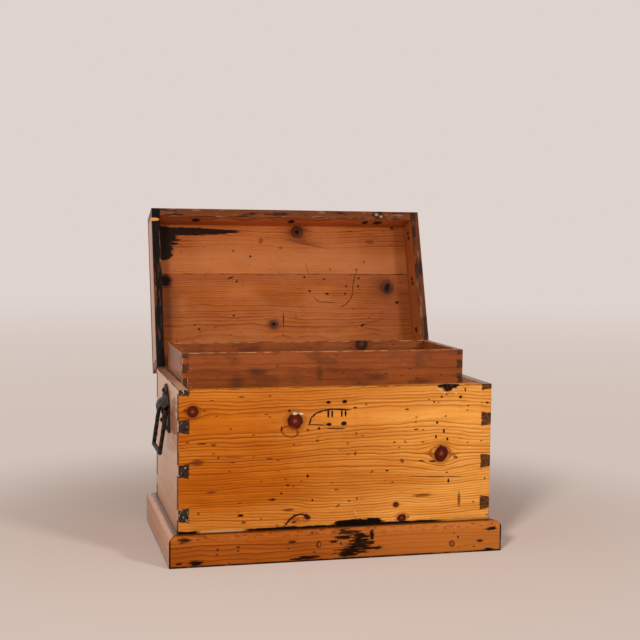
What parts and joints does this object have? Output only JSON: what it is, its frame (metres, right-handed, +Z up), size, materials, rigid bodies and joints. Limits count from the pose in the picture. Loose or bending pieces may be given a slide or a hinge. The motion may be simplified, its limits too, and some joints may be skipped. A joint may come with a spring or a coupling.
{
  "type": "tool chest",
  "caption": "Dovetailed pine tool chest on a moulded plinth, with a hinged box lid, a sliding inner tray and hooded drop handles.",
  "frame": {"origin": "centre of the carcase's footprint, on the floor", "axes": "+X along the front to the right, +Y from front to back, +Z up; front faces -Y"},
  "size_m": [0.7008, 0.5932, 0.7075],
  "materials": {
    "carcase_pine": "old varnished pine, golden orange, worn satin",
    "plinth_pine": "old varnished pine, knocked and stained",
    "lid_pine": "oiled pine, satin",
    "tray_pine": "dark stained pine, worn at the edges",
    "raw_pine": "bare sawn pine, dusty",
    "handle_iron": "black iron with brown rust",
    "hinge_iron": "dark iron, dull",
    "nail_iron": "rusted cut nails"
  },
  "bodies": {
    "root": {"front_board": "carcase_pine", "back_board": "carcase_pine", "left_end_board": "carcase_pine", "right_end_board": "carcase_pine", "bottom_board_1": "raw_pine", "bottom_board_2": "raw_pine", "bottom_board_3": "raw_pine", "plinth_front": "plinth_pine", "plinth_back": "plinth_pine", "plinth_left": "plinth_pine", "plinth_right": "plinth_pine", "left_tray_runner": "raw_pine", "right_tray_runner": "raw_pine", "left_hinge_lower_leaf": "hinge_iron", "right_hinge_lower_leaf": "hinge_iron", "left_hinge_pin": "hinge_iron", "right_hinge_pin": "hinge_iron", "hinge_lower_screws": "hinge_iron", "left_handle_plate": "handle_iron", "right_handle_plate": "handle_iron", "left_handle_nails": "nail_iron", "right_handle_nails": "nail_iron", "bottom_nails": "nail_iron", "plinth_nails": "nail_iron", "runner_nails": "nail_iron"},
    "lid": {"lid_rim_front": "lid_pine", "lid_rim_back": "lid_pine", "lid_rim_left": "lid_pine", "lid_rim_right": "lid_pine", "lid_board_front": "lid_pine", "lid_board_back": "lid_pine", "left_hinge_upper_leaf": "hinge_iron", "right_hinge_upper_leaf": "hinge_iron", "hinge_upper_screws": "hinge_iron", "lid_nails": "nail_iron"},
    "tray": {"tray_front": "tray_pine", "tray_back": "tray_pine", "tray_left": "tray_pine", "tray_right": "tray_pine", "tray_bottom": "tray_pine", "tray_brads": "nail_iron"},
    "left_bail": {"left_bail": "handle_iron"},
    "right_bail": {"right_bail": "handle_iron"}
  },
  "joints": [
    {"name": "lid_hinge", "type": "hinge", "parent": "root", "child": "lid", "pos_m": [0, 0.1915, 0.347], "axis": [1, 0, 0], "range_deg": [0, 108]},
    {"name": "tray_slide", "type": "slide", "parent": "root", "child": "tray", "axis": [0, 1, 0], "range_m": [-0.088, 0.006]},
    {"name": "left_bail_hinge", "type": "hinge", "parent": "root", "child": "left_bail", "pos_m": [-0.334, 0, 0.284], "axis": [0, 1, 0], "range_deg": [0, 97]},
    {"name": "right_bail_hinge", "type": "hinge", "parent": "root", "child": "right_bail", "pos_m": [0.334, 0, 0.284], "axis": [0, -1, 0], "range_deg": [0, 97]}
  ]
}
